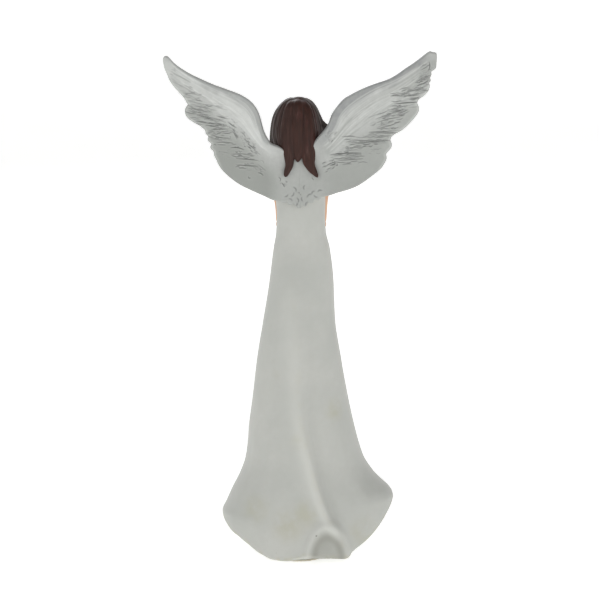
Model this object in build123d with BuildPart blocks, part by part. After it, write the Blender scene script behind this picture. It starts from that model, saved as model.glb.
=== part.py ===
from build123d import *
import os
from math import cos, radians, sin, sqrt

# Standing angel figurine in painted cast resin. All sizes are in millimetres.
# +Z is up, the face looks along -Y, the wings and the long hair are at the back (+Y), and the
# angel's own left is +X. The origin is on the underside of the felt, at its centre.

# ---------------------------------------------------------------- felt and bottom plate
felt_thickness = 1.0
felt_half_width = 17.0
felt_half_depth = 22.0
plate_thickness = 3.0
plate_ledge = 2.0               # width of the ledge that the plate is glued against
glue_gap = 0.15                 # between castings that are glued into each other

# ---------------------------------------------------------------- gown
waist_height = 162.0            # from the top of the felt
waist_half_width = 12.2
waist_half_depth = 9.4
foot_half_width = 46.5          # of the whole ring, before its sides are lifted
foot_half_depth = 29.0
hem_lean = -4.5                 # the hem is this far off centre, towards the angel's right
left_lift_start = 18.0          # where the hem leaves the ground, from the centre line
left_lift_rise = 13.0           # the height of its edge at the hem's furthest point
right_lift_start = 22.0
right_lift_rise = 26.5
waist_to_bust = 17.0
waist_to_shoulder = 29.0
waist_to_collar = 35.0
bust_half_width = 12.2
bust_half_depth = 9.6
shoulder_half_width = 12.6
shoulder_half_depth = 6.6
collar_half_width = 6.4
collar_half_depth = 5.6
core_half_width = 13.0          # hollow core at the foot
core_half_depth = 17.0
core_wall = 5.0                 # least resin between the core and the outside
core_top_gap = 14.0             # solid resin between the core and the waist
skirt_rings = 14                # evenly spaced from the foot to the waist
flare_share = 0.32              # of the skirt's spread: the rest is a plain cone
flare_height = 36.0             # where half the flare is gone, above the ground
flare_sharpness = 6

# ---------------------------------------------------------------- head and neck
neck_radius = 3.9
neck_length = 5.5               # collar to chin
neck_socket_depth = 4.0
head_height = 26.0              # chin to the top of the skull
head_radius = 8.8
head_side = 1.2                 # the head is a little towards the angel's left
head_forward = 1.5              # and in front of the neck

# ---------------------------------------------------------------- hair
hair_thickness = 2.2            # on the top, in front and behind
hair_side_thickness = 3.9       # over the temples
back_lock_drop = 4.3            # from the collar down to the tips of the two back locks
back_lock_thickness = 2.4
back_lock_half_width = 8.3
parting_half_width = 5.0        # the gap between the two back locks, at their tips
parting_height = 8.0
side_lock_drop = 7.0            # from the collar down to the tips of the front locks
side_lock_radius = 1.8
side_lock_inset = 3.1           # from the shoulder's side in to the tip of a front lock
hairline_drop = 7.0             # from the crown down to the hair's edge on the forehead

# ---------------------------------------------------------------- wings
wing_reach = 63.6               # centre line to tip, sideways
wing_rise = 63.0                # root centre to tip, upwards
wing_drop = 10.5                # root centre to the lowest edge
wing_sweep = 18.0               # degrees that each wing leans back
wing_thickness = 4.0
wing_root_inset = 4.6           # from the shoulder's side in to the root's centre
wing_root_y = 10.9
flange_point_drop = 13.5        # root centre to the point where the two flanges meet
flange_height = 24.0
flange_gap = 0.1                # between the two flanges, on the centre line
tenon_width = 4.6
tenon_height = 8.0
tenon_depth = 4.0               # how far it goes into the back
tenon_lowering = 3.0            # its centre below the root's centre

# Wing outline, each point as a share of the blade's length and of its rise (or of its drop).
root_top = (0.00, 0.20)
leading_edge = [(0.11, 0.36), (0.20, 0.56), (0.33, 0.66), (0.55, 0.746), (0.80, 0.86)]
tip = (1.00, 1.00)
trailing_edge = [(0.97, 0.86), (0.84, 0.64), (0.73, 0.46), (0.62, 0.28), (0.52, 0.11)]
lower_edge = [(0.285, -0.36), (0.09, -0.88), (0.00, -1.00)]

# ---------------------------------------------------------------- arms and hands
arm_radius = 2.4
forearm_radius = 1.9
elbow_side = 10.6
elbow_forward = 6.5
elbow_drop = 25.0               # below the shoulder
hand_length = 13.0
hand_width = 5.4
hand_thickness = 2.4
hands_forward = 16.5
fingertip_drop = 7.0            # below the shoulder
palm_gap = 0.3                  # between the two palms, on the centre line

# ---------------------------------------------------------------- wire dowels
dowel_gap = 0.03                # around each dowel in its hole
neck_dowel_radius = 1.0
neck_dowel_length = 18.0
wing_dowel_radius = 0.8
wing_dowel_length = 13.0
wing_dowel_spacing = 4.0
arm_dowel_radius = 0.7
arm_dowel_length = 5.0
arm_dowel_in_arm = 1.8

# ---------------------------------------------------------------- levels worked out from them
ground = felt_thickness
waist_z = ground + waist_height
bust_z = waist_z + waist_to_bust
shoulder_z = waist_z + waist_to_shoulder
collar_z = waist_z + waist_to_collar
chin_z = collar_z + neck_length
crown_z = chin_z + head_height
neck_foot_z = collar_z - neck_socket_depth
tenon_z = shoulder_z - tenon_lowering
tenon_tip_y = shoulder_half_depth - tenon_depth
wing_root_x = shoulder_half_width - wing_root_inset
sides = {"left": 1, "right": -1}
clear_of_all = 2 * (foot_half_width + foot_half_depth)   # longer than any cut has to be

os.makedirs("parts", exist_ok=True)


def lofted(stations, ruled=False):
    """Solid through level ellipses, each (height, centre x, half width, half depth)."""
    with BuildPart() as body:
        for height, centre_x, half_width, half_depth in stations:
            with BuildSketch(Plane.XY.offset(height)):
                with Locations((centre_x, 0)):
                    Ellipse(half_width, half_depth)
        loft(ruled=ruled)
    return body.part


def egg(centre, radius, half_height):
    """Upright ellipsoid, round when seen from above."""
    with BuildPart() as body:
        with BuildSketch(Plane.XZ.offset(-centre[1])):
            with Locations((centre[0], centre[2])):
                Ellipse(radius, half_height)
                with Locations((-radius, 0)):
                    Rectangle(2 * radius, 2 * half_height, mode=Mode.SUBTRACT)
        revolve(axis=Axis(centre, (0, 0, 1)))
    return body.part


def limb(start, end, radius):
    """Round limb between two points, with a ball at each end."""
    run = Vector(*end) - Vector(*start)
    with BuildPart() as body:
        with BuildSketch(Plane(origin=start, z_dir=run)):
            Circle(radius)
        extrude(amount=run.length)
        with Locations(start, end):
            Sphere(radius)
    return body.part


def rod(place, turn, radius, length):
    """Straight rod centred on a place. The turn about X, Y and Z sets the way it points."""
    with BuildPart() as body:
        with Locations(Location(place, turn)):
            Cylinder(radius, length)
    return body.part


def write(piece, label):
    """Labels a finished piece and writes its file."""
    piece.part.label = label
    export_step(piece.part, f"parts/{label}.step")


# ---------------------------------------------------------------- dowels: steel wire
along_x = (0, 90, 0)
along_y = (90, 0, 0)
along_z = (0, 0, 0)
neck_place = (0, 0, neck_foot_z)
wing_dowel_places = {
    side: [
        (side * wing_root_x, tenon_tip_y, tenon_z + step * wing_dowel_spacing / 2)
        for step in (1, -1)
    ]
    for side in sides.values()
}
arm_dowel_x = shoulder_half_width + arm_dowel_in_arm - arm_dowel_length / 2
arm_dowel_z = shoulder_z - arm_radius
arm_dowel_places = {side: (side * arm_dowel_x, 0, arm_dowel_z) for side in sides.values()}

neck_hole = rod(neck_place, along_z, neck_dowel_radius + dowel_gap, neck_dowel_length)
wing_holes = {
    side: [
        rod(place, along_y, wing_dowel_radius + dowel_gap, wing_dowel_length)
        for place in places
    ]
    for side, places in wing_dowel_places.items()
}
arm_holes = {
    side: rod(place, along_x, arm_dowel_radius + dowel_gap, arm_dowel_length)
    for side, place in arm_dowel_places.items()
}

with BuildPart() as neck_dowel:
    with Locations(neck_place):
        Cylinder(neck_dowel_radius, neck_dowel_length - 2 * dowel_gap)
write(neck_dowel, "neck_dowel")

with BuildPart() as wing_dowels:
    for places in wing_dowel_places.values():
        with Locations(*[Location(place, along_y) for place in places]):
            Cylinder(wing_dowel_radius, wing_dowel_length - 2 * dowel_gap)
write(wing_dowels, "wing_dowels")

with BuildPart() as arm_dowels:
    with Locations(*[Location(place, along_x) for place in arm_dowel_places.values()]):
        Cylinder(arm_dowel_radius, arm_dowel_length - 2 * dowel_gap)
write(arm_dowels, "arm_dowels")

# ---------------------------------------------------------------- gown: hollow resin casting
def skirt_ring(height):
    """Level ring of the skirt at a height above the ground: a cone with a flared foot."""
    rise = height / waist_height
    flare = 1 / (1 + (height / flare_height) ** flare_sharpness)
    width_share = (1 - flare_share) * (1 - rise) + flare_share * flare
    depth_share = 1 - rise ** 1.3
    return (
        ground + height,
        hem_lean * flare,
        waist_half_width + (foot_half_width - waist_half_width) * width_share,
        waist_half_depth + (foot_half_depth - waist_half_depth) * depth_share,
    )


waist_station = (waist_z, 0, waist_half_width, waist_half_depth)
skirt = lofted(
    [skirt_ring(waist_height * ring / skirt_rings) for ring in range(skirt_rings)]
    + [waist_station]
)
bodice = lofted(
    [
        waist_station,
        (bust_z, 0, bust_half_width, bust_half_depth),
        (shoulder_z, 0, shoulder_half_width, shoulder_half_depth),
        (collar_z, 0, collar_half_width, collar_half_depth),
    ],
    ruled=True,
)

# The whole outside of the gown. Whatever is glued onto the gown is cut back to it.
with BuildPart() as gown_body:
    add(skirt)
    add(bodice)

core_top_z, _, ring_half_width, ring_half_depth = skirt_ring(waist_height - core_top_gap)
core = lofted(
    [
        (ground, 0, core_half_width, core_half_depth),
        (core_top_z, 0, ring_half_width - core_wall, ring_half_depth - core_wall),
    ]
)

with BuildPart() as gown:
    add(gown_body.part)
    # The hem lifts off the ground on each side, higher on the angel's right.
    for side, start, rise in (
        (1, left_lift_start, left_lift_rise),
        (-1, right_lift_start, right_lift_rise),
    ):
        furthest = foot_half_width + side * hem_lean
        slope = rise / (furthest - start)
        with BuildSketch(Plane.XZ.offset(-clear_of_all)):
            with BuildLine():
                Polyline(
                    (side * start, ground),
                    (side * clear_of_all, ground),
                    (side * clear_of_all, ground + slope * (clear_of_all - start)),
                    close=True,
                )
            make_face()
        extrude(amount=2 * clear_of_all, mode=Mode.SUBTRACT)
    add(core, mode=Mode.SUBTRACT)
    # Ledge for the bottom plate.
    with BuildSketch(Plane.XY.offset(ground)):
        Ellipse(core_half_width + plate_ledge, core_half_depth + plate_ledge)
    extrude(amount=plate_thickness + glue_gap, mode=Mode.SUBTRACT)
    # Socket for the neck.
    with Locations((0, 0, collar_z)):
        Cylinder(neck_radius + glue_gap, 2 * neck_socket_depth, mode=Mode.SUBTRACT)
    # Two mortises in the back, for the wings.
    with Locations(*[(side * wing_root_x, tenon_tip_y, tenon_z) for side in sides.values()]):
        Box(
            tenon_width + 2 * glue_gap,
            wing_root_y,
            tenon_height + 2 * glue_gap,
            align=(Align.CENTER, Align.MIN, Align.CENTER),
            mode=Mode.SUBTRACT,
        )
    add([neck_hole, *wing_holes[1], *wing_holes[-1], *arm_holes.values()], mode=Mode.SUBTRACT)
write(gown, "gown")

# ---------------------------------------------------------------- bottom plate and felt
with BuildPart() as bottom_plate:
    with BuildSketch(Plane.XY.offset(ground)):
        Ellipse(
            core_half_width + plate_ledge - glue_gap,
            core_half_depth + plate_ledge - glue_gap,
        )
    extrude(amount=plate_thickness)
write(bottom_plate, "bottom_plate")

with BuildPart() as felt_base:
    with BuildSketch():
        Ellipse(felt_half_width, felt_half_depth)
    extrude(amount=felt_thickness)
write(felt_base, "felt_base")

# ---------------------------------------------------------------- head with its neck
head_centre = (head_side, -head_forward, (chin_z + crown_z) / 2)

# The head without its dowel hole: the hair is cut back to this.
with BuildPart() as head_body:
    add(egg(head_centre, head_radius, head_height / 2))
    with Locations(neck_place):
        Cylinder(
            neck_radius,
            head_centre[2] - neck_foot_z,
            align=(Align.CENTER, Align.CENTER, Align.MIN),
        )

with BuildPart() as head:
    add(head_body.part)
    add(neck_hole, mode=Mode.SUBTRACT)
write(head, "head")

# ---------------------------------------------------------------- wings
blade_length = (wing_reach - wing_root_x) / cos(radians(wing_sweep))
flange_back_y = wing_root_y + wing_thickness / 2
flange_top_z = shoulder_z - flange_point_drop + flange_height


def blade(side, thickness):
    """Wing blade on its own upright plane, which leans back from its root to its tip."""
    plane = Plane(
        origin=(side * wing_root_x, wing_root_y, shoulder_z),
        x_dir=(cos(radians(wing_sweep)), side * sin(radians(wing_sweep)), 0),
        z_dir=(side * sin(radians(wing_sweep)), -cos(radians(wing_sweep)), 0),
    )

    def placed(points):
        return [
            (side * blade_length * out, up * (wing_rise if up > 0 else wing_drop))
            for out, up in points
        ]

    with BuildPart() as body:
        with BuildSketch(plane):
            with BuildLine():
                Spline(*placed([root_top, *leading_edge, tip]))
                Spline(*placed([tip, *trailing_edge, *lower_edge]))
                Line(*placed([lower_edge[-1], root_top]))
            make_face()
        extrude(amount=thickness / 2, both=True)
    return body.part


def flange(side):
    """The wing root's flat flange on the back, which reaches the centre line."""
    inner_x = side * flange_gap / 2
    outer_x = side * (wing_root_x + tenon_width / 2)
    with BuildPart() as body:
        with BuildSketch(Plane.XZ.offset(-tenon_tip_y)):
            with BuildLine():
                Polyline(
                    (inner_x, shoulder_z - flange_point_drop),
                    (outer_x, shoulder_z - wing_drop),
                    (outer_x, shoulder_z + wing_rise * root_top[1]),
                    (inner_x, flange_top_z),
                    close=True,
                )
            make_face()
        extrude(amount=-(flange_back_y - tenon_tip_y))
    return body.part


wing_parts = {}
for name, side in sides.items():
    wing_blade = blade(side, wing_thickness)
    wing_flange = flange(side)
    with BuildPart() as wing:
        add(wing_flange)
        add(wing_blade)
        # The neck and everything in front of it stays clear.
        with Locations((0, 0, collar_z)):
            Cylinder(neck_radius + hair_thickness, clear_of_all, mode=Mode.SUBTRACT)
        add(gown_body.part, mode=Mode.SUBTRACT)
        with Locations((side * wing_root_x, tenon_tip_y + glue_gap, tenon_z)):
            Box(
                tenon_width,
                wing_root_y - tenon_tip_y - glue_gap,
                tenon_height,
                align=(Align.CENTER, Align.MIN, Align.CENTER),
            )
        add(wing_holes[side], mode=Mode.SUBTRACT)
    write(wing, f"{name}_wing")
    wing_parts[name] = wing.part

# ---------------------------------------------------------------- arms with praying hands
hand_foot_z = shoulder_z - fingertip_drop - hand_length
for name, side in sides.items():
    shoulder_point = (side * shoulder_half_width, 0, arm_dowel_z)
    elbow_point = (side * elbow_side, -elbow_forward, shoulder_z - elbow_drop)
    wrist_point = (side * (palm_gap / 2 + hand_thickness), -hands_forward, hand_foot_z)
    upper_arm = limb(shoulder_point, elbow_point, arm_radius)
    forearm = limb(elbow_point, wrist_point, forearm_radius)
    with BuildPart() as arm:
        add(upper_arm)
        add(forearm)
        with BuildSketch(Plane.YZ.offset(side * palm_gap / 2)):
            with Locations((-hands_forward, hand_foot_z + hand_length / 2)):
                Ellipse(hand_width / 2, hand_length / 2)
        extrude(amount=side * hand_thickness)
        add(gown_body.part, mode=Mode.SUBTRACT)
        add(arm_holes[side], mode=Mode.SUBTRACT)
    write(arm, f"{name}_arm")

# ---------------------------------------------------------------- hair
# The hair is the room shared by its three outlines: from behind, from the side and from
# above. The side outline leaves the face open, and runs down behind the neck to the locks.
lock_front_y = flange_back_y + glue_gap
lock_back_y = lock_front_y + back_lock_thickness
tips_z = collar_z - back_lock_drop
parting_z = tips_z + parting_height
hair_top_z = crown_z + hair_thickness
cap_radius = head_radius + hair_thickness
cap_half_width = head_radius + hair_side_thickness
head_mid_z = head_centre[2]
face_edge_y = -head_forward - head_radius / 3
hairline_z = crown_z - hairline_drop

with BuildPart() as hair_from_behind:
    with BuildSketch(Plane.XZ.offset(clear_of_all / 2)):
        with BuildLine():
            Spline(
                (back_lock_half_width, tips_z),
                (back_lock_half_width, collar_z + 3),
                (head_side + cap_half_width, head_mid_z - 2),
                (head_side + cap_half_width * 0.75, crown_z - head_height / 6),
                (head_side, hair_top_z),
                (head_side - cap_half_width * 0.75, crown_z - head_height / 6),
                (head_side - cap_half_width, head_mid_z - 2),
                (-back_lock_half_width, collar_z + 3),
                (-back_lock_half_width, tips_z),
            )
            Polyline(
                (-back_lock_half_width, tips_z),
                (-parting_half_width, tips_z),
                (0, parting_z),
                (parting_half_width, tips_z),
                (back_lock_half_width, tips_z),
            )
        make_face()
    extrude(amount=-clear_of_all)

with BuildPart() as hair_from_side:
    with BuildSketch(Plane.YZ.offset(-clear_of_all / 2)):
        with BuildLine():
            Spline(
                (-head_forward - cap_radius, hairline_z),
                (-head_forward - cap_radius * 0.75, crown_z - 2),
                (-head_forward, hair_top_z),
                (-head_forward + cap_radius * 0.75, crown_z - 2),
                (-head_forward + cap_radius, head_mid_z),
                (lock_back_y, collar_z + 2),
                (lock_back_y, tips_z),
            )
            Polyline(
                (lock_back_y, tips_z),
                (lock_front_y, tips_z),
                (lock_front_y, flange_top_z + glue_gap),
                (face_edge_y, flange_top_z + glue_gap),
                (face_edge_y, hairline_z),
                (-head_forward - cap_radius, hairline_z),
            )
        make_face()
    extrude(amount=clear_of_all)

with BuildPart() as hair_from_above:
    with BuildSketch():
        with Locations((head_side, -head_forward)):
            Ellipse(cap_half_width, cap_radius)
        with Locations((head_side / 2, -head_forward)):
            Rectangle(
                2 * cap_half_width - abs(head_side),
                lock_back_y + head_forward,
                align=(Align.CENTER, Align.MIN),
            )
        back_corners = vertices().group_by(Axis.Y)[-1]
        fillet(back_corners, cap_radius / 3)
    extrude(amount=clear_of_all + hair_top_z)

# The front locks end against the front of the shoulders.
lock_tip_x = shoulder_half_width - side_lock_inset
shoulder_front_y = -shoulder_half_depth * sqrt(1 - (lock_tip_x / shoulder_half_width) ** 2)
side_locks = [
    limb(
        (
            head_side + side * (cap_half_width - side_lock_radius),
            face_edge_y,
            head_mid_z - side_lock_radius,
        ),
        (side * lock_tip_x, shoulder_front_y - side_lock_radius, collar_z - side_lock_drop),
        side_lock_radius,
    )
    for side in sides.values()
]
with BuildPart() as hair:
    add(hair_from_behind.part)
    add(hair_from_side.part, mode=Mode.INTERSECT)
    add(hair_from_above.part, mode=Mode.INTERSECT)
    add(side_locks)
    add([head_body.part, gown_body.part, *wing_parts.values()], mode=Mode.SUBTRACT)
write(hair, "hair")
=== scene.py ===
"""A cast resin angel with raised wings and praying hands, painted by hand, on a felt-covered foot.

The figure faces -Y and its own left is +X. Each piece is shaped in millimetres and ends in metres.
"""

import math
import random

import bmesh
import bpy
import numpy as np
from mathutils import Matrix, Vector
from mathutils.kdtree import KDTree


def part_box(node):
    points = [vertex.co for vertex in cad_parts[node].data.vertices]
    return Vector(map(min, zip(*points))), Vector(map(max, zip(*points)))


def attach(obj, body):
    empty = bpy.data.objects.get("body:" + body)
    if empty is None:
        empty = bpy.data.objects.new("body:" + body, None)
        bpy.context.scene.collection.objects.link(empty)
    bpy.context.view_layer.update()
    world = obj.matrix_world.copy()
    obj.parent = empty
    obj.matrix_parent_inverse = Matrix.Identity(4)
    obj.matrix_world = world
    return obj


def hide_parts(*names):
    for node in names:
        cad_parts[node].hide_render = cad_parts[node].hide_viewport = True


MM = 0.001

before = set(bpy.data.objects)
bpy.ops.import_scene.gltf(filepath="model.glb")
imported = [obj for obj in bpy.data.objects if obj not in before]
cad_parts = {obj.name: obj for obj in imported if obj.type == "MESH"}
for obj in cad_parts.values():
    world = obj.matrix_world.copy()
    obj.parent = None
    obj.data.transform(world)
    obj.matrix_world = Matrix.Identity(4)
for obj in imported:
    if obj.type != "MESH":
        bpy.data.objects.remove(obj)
bpy.context.view_layer.update()


# ---------------------------------------------------------------- places taken from the frame


def box_mm(node):
    """Lowest and highest corner of a CAD node, in millimetres."""
    low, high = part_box(node)
    return np.array(low) / MM, np.array(high) / MM


gown_low, gown_high = box_mm("gown")
plate_low, plate_high = box_mm("bottom_plate")
felt_low, felt_high = box_mm("felt_base")
head_low, head_high = box_mm("head")
crown = box_mm("hair")[1][2]
left_tip_x = box_mm("left_wing")[1][0]
right_tip_x = -box_mm("right_wing")[0][0]
fingers_front = box_mm("left_arm")[0][1]

ground = gown_low[2]
collar = gown_high[2]
skull_radius = 13.0
head_centre = (head_low + head_high) / 2
face_centre = np.array([head_centre[0], head_centre[1], head_high[2] - skull_radius])


# ---------------------------------------------------------------- curves and masks


def through(points, at):
    """Values at the places `at` of a smooth curve through (place, value) points."""
    x, y = np.array(points, float).T
    steep = np.diff(y) / np.diff(x)
    before, after = steep[:-1], steep[1:]
    same_way = before * after > 0
    inner = np.where(same_way, 2 * before * after / np.where(same_way, before + after, 1), 0)
    slope = np.concatenate([steep[:1], inner, steep[-1:]])
    at = np.clip(at, x[0], x[-1])
    k = np.clip(np.searchsorted(x, at) - 1, 0, len(x) - 2)
    span = x[k + 1] - x[k]
    t = (at - x[k]) / span
    rise = (3 - 2 * t) * t * t
    start = span * slope[k] * t * (1 - t) ** 2
    end = span * slope[k + 1] * t * t * (t - 1)
    return y[k] + (y[k + 1] - y[k]) * rise + start + end


def ramp(low, high, at):
    """0 below low, 1 above high, and a soft step between."""
    t = np.clip((at - low) / (high - low), 0, 1)
    return t * t * (3 - 2 * t)


def bump(distance, width):
    """A bell of height 1."""
    return np.exp(-((distance / width) ** 2))


def curve(points, count, closed=False):
    """Points evenly numbered along a smooth line through the given ones."""
    p = np.array(points, float)
    if closed:
        p = np.vstack([p[-1:], p, p[:2]])
    else:
        p = np.vstack([2 * p[0] - p[1], p, 2 * p[-1] - p[-2]])
    spans = len(p) - 3
    s = np.linspace(0, spans, count, endpoint=not closed)
    k = np.minimum(s.astype(int), spans - 1)
    t = (s - k)[:, None]
    a, b, c, d = p[k], p[k + 1], p[k + 2], p[k + 3]
    bend = 2 * a - 5 * b + 4 * c - d
    return 0.5 * (2 * b + (c - a) * t + bend * t * t + (3 * b - a - 3 * c + d) * t ** 3)


def distance_to(line, x, z):
    """Shortest distance from each place (x, z) to a line of points."""
    nearest = np.full(np.shape(x), 1e9)
    for (x0, z0), (x1, z1) in zip(line[:-1], line[1:]):
        dx, dz = x1 - x0, z1 - z0
        length = max(dx * dx + dz * dz, 1e-9)
        t = np.clip(((x - x0) * dx + (z - z0) * dz) / length, 0, 1)
        nearest = np.minimum(nearest, np.hypot(x - x0 - t * dx, z - z0 - t * dz))
    return nearest


# ---------------------------------------------------------------- meshes


def made(name, bm):
    """An object from a bmesh."""
    mesh = bpy.data.meshes.new(name)
    bm.to_mesh(mesh)
    bm.free()
    obj = bpy.data.objects.new(name, mesh)
    bpy.context.scene.collection.objects.link(obj)
    return obj


def places(mesh):
    """The places of a mesh's points."""
    flat = np.empty(len(mesh.vertices) * 3, np.float32)
    mesh.vertices.foreach_get("co", flat)
    return flat.reshape(-1, 3).astype(float)


def outward(mesh):
    """The direction in which each point of a mesh faces."""
    flat = np.empty(len(mesh.vertices) * 3, np.float32)
    mesh.vertex_normals.foreach_get("vector", flat)
    return flat.reshape(-1, 3).astype(float)


def move(mesh, xyz):
    mesh.vertices.foreach_set("co", np.asarray(xyz, np.float32).ravel())
    mesh.update()


def mirrored(mesh):
    """Turns a left piece into a right one."""
    move(mesh, places(mesh) * (-1, 1, 1))
    mesh.flip_normals()


def paint(mesh, name, values):
    """Keeps how thick a paint lies on each point."""
    kept = mesh.attributes.new(name, "FLOAT", "POINT")
    kept.data.foreach_set("value", np.asarray(np.clip(values, 0, 1), np.float32))


def applied(obj, kind, **settings):
    """Adds a modifier and applies it."""
    modifier = obj.modifiers.new(kind.lower(), kind)
    for key, value in settings.items():
        setattr(modifier, key, value)
    seen = obj.evaluated_get(bpy.context.evaluated_depsgraph_get())
    mesh = bpy.data.meshes.new_from_object(seen)
    obj.modifiers.clear()
    old = obj.data
    obj.data = mesh
    bpy.data.meshes.remove(old)
    return obj


def fused(obj, grain):
    """One closed skin over all of a piece's overlapping parts."""
    return applied(obj, "REMESH", mode="VOXEL", voxel_size=grain)


def softened(obj, times, factor=0.5):
    return applied(obj, "SMOOTH", factor=factor, iterations=times)


def skin(bm, sides, rings, place):
    """Adds a closed skin: a grid rolled up into a tube, whose two ends are drawn together.

    place(turn, along) gives the point for each turn (0 to 2 pi) and each place along (0 to 1).
    """
    old = set(bm.verts)
    bmesh.ops.create_grid(bm, x_segments=sides, y_segments=rings, size=0.5)
    fresh = [v for v in bm.verts if v not in old] if old else list(bm.verts)
    flat = np.array([v.co for v in fresh])
    turn = 2 * math.pi * (flat[:, 0] + 0.5)
    along = flat[:, 1] + 0.5
    for vert, point in zip(fresh, place(turn, along)):
        vert.co = point
    bmesh.ops.remove_doubles(bm, verts=fresh, dist=1e-4)
    return [v for v in fresh if v.is_valid]


def followed(line, along):
    """The places on a line of points at shares of its run, and the directions that it takes there."""
    stops = np.linspace(0, 1, len(line))
    step = np.gradient(line, axis=0)
    centre, way = (np.stack([np.interp(along, stops, axis) for axis in part.T], 1) for part in (line, step))
    return centre, way / np.linalg.norm(way, axis=1)[:, None]


def limb(bm, points, radii, sides=20, rings=24, flat=1.0, facing=(0, -1, 0)):
    """Adds a rounded limb along a smooth line. flat is its thickness along facing over its width."""
    line = curve(points, 60)
    sizes = np.array(radii, float)
    marks = np.linspace(0, 1, len(sizes))

    def place(turn, along):
        # The last tenth at each end closes as a dome.
        end = np.minimum(along, 1 - along) / 0.1
        dome = np.sqrt(1 - (1 - np.clip(end, 0, 1)) ** 2)
        radius = np.interp(along, marks, sizes)
        if len(sizes) > 2:
            radius = through(list(zip(marks, sizes)), along)
        centre, way = followed(line, along)
        up = np.array(facing, float) - way * (way @ np.array(facing, float))[:, None]
        up /= np.linalg.norm(up, axis=1)[:, None]
        aside = np.cross(way, up)
        reach = (radius * dome)[:, None]
        return centre + reach * (aside * np.cos(turn)[:, None] + flat * up * np.sin(turn)[:, None])

    skin(bm, sides, rings, place)


def ball(bm, centre, radii, segments=28):
    """Adds an egg with the given half-sizes."""
    rows = segments // 2 + 2
    egg = bmesh.ops.create_uvsphere(bm, u_segments=segments, v_segments=rows, radius=1)["verts"]
    shaped = Matrix.Translation(centre) @ Matrix.Diagonal((*radii, 1))
    bmesh.ops.transform(bm, verts=egg, matrix=shaped)


def facing_out(bm):
    bmesh.ops.recalc_face_normals(bm, faces=bm.faces)


def finished(obj, material, node):
    """Brings a piece to metres, gives it its paint, hangs it on the root body and hides the CAD node that it
    replaces.
    """
    obj.data.transform(Matrix.Scale(MM, 4))
    obj.data.materials.clear()
    obj.data.materials.append(material)
    for polygon in obj.data.polygons:
        polygon.use_smooth = True
    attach(obj, "root")
    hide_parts(node)


# ---------------------------------------------------------------- paints and finishes


def colour(code):
    """A linear colour from an sRGB hex code."""
    parts = [int(code[i:i + 2], 16) / 255 for i in (1, 3, 5)]
    return (*[p / 12.92 if p <= 0.04045 else ((p + 0.055) / 1.055) ** 2.4 for p in parts], 1)


def node(tree, kind, inputs=(), stops=None, **settings):
    """Adds a shader node with its settings, its constants and its links."""
    new = tree.nodes.new("ShaderNode" + kind)
    for key, value in settings.items():
        setattr(new, key, value)
    for socket, value in dict(inputs).items():
        if isinstance(value, bpy.types.NodeSocket):
            tree.links.new(value, new.inputs[socket])
        else:
            new.inputs[socket].default_value = value
    if stops:
        elements = new.color_ramp.elements
        while len(elements) < len(stops):
            elements.new(0.5)
        for element, (place, shade) in zip(elements, stops):
            element.position = place
            element.color = colour(shade) if isinstance(shade, str) else (shade, shade, shade, 1)
    return new


def finish_shader(name, **constants):
    """A new material with its surface shader; constants are set on the shader's own sockets."""
    material = bpy.data.materials.new(name)
    material.use_nodes = True
    tree = material.node_tree
    tree.nodes.clear()
    shader = node(tree, "BsdfPrincipled", constants)
    node(tree, "OutputMaterial", {"Surface": shader.outputs["BSDF"]})
    place = node(tree, "TexCoord").outputs["Object"]
    return material, tree, shader, place


def coat(tree, base, over, *masks):
    """Lays one colour over another, as thick as all the masks together allow.

    A mask is a socket, a number, or the name of a paint whose thickness is kept on the points.
    """
    amount = 1.0
    for k, mask in enumerate(masks):
        if isinstance(mask, str):
            mask = node(tree, "Attribute", attribute_name=mask).outputs["Fac"]
        amount = mask if k == 0 else node(tree, "Math", {0: amount, 1: mask}, operation="MULTIPLY").outputs[0]
    under, over = (colour(shade) if isinstance(shade, str) else shade for shade in (base, over))
    return node(tree, "Mix", {"Factor": amount, 6: under, 7: over}, data_type="RGBA").outputs[2]


def speckle(tree, place, size_mm, detail=3.0, rough=0.55, low=0.35, high=0.65, distortion=0.0):
    """Soft irregular patches of the given real size, from 0 to 1."""
    # A noise texture's patches are about half a unit across, so the scale is set from that.
    scale = 0.5 / (size_mm * MM)
    noise = node(tree, "TexNoise", {"Vector": place, "Scale": scale, "Detail": detail,
                                    "Roughness": rough, "Distortion": distortion})
    return node(tree, "ValToRGB", {0: noise.outputs[0]}, stops=[(low, 0.0), (high, 1.0)]).outputs[0]


def spots(tree, place, marks, soft):
    """1 within the radius of any of the (place, radius) marks and 0 outside, with soft rims."""
    most = 0.0
    for centre_mm, radius_mm in marks:
        away = node(tree, "VectorMath", {0: place, 1: tuple(c * MM for c in centre_mm)}, operation="DISTANCE")
        near = {"Value": away.outputs["Value"], 1: radius_mm * MM * (1 - soft),
                2: radius_mm * MM * (1 + soft), 3: 1.0, 4: 0.0}
        here = node(tree, "MapRange", near, clamp=True, interpolation_type="SMOOTHSTEP").outputs[0]
        most = node(tree, "Math", {0: most, 1: here}, operation="MAXIMUM").outputs[0]
    return most


def surface(tree, shader, base, rough, height, distance_mm, strength):
    """Joins a finish to its shader: its colour, its roughness and its bumps up to distance_mm high.

    rough is (amount, low, high): the roughness goes from low to high with the amount.
    """
    tree.links.new(base, shader.inputs["Base Color"])
    if rough:
        spread = dict(zip(("Value", 3, 4), rough))
        tree.links.new(node(tree, "MapRange", spread).outputs[0], shader.inputs["Roughness"])
    bumped = node(tree, "Bump", {"Strength": strength, "Distance": distance_mm * MM, "Height": height})
    tree.links.new(bumped.outputs[0], shader.inputs["Normal"])


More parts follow.
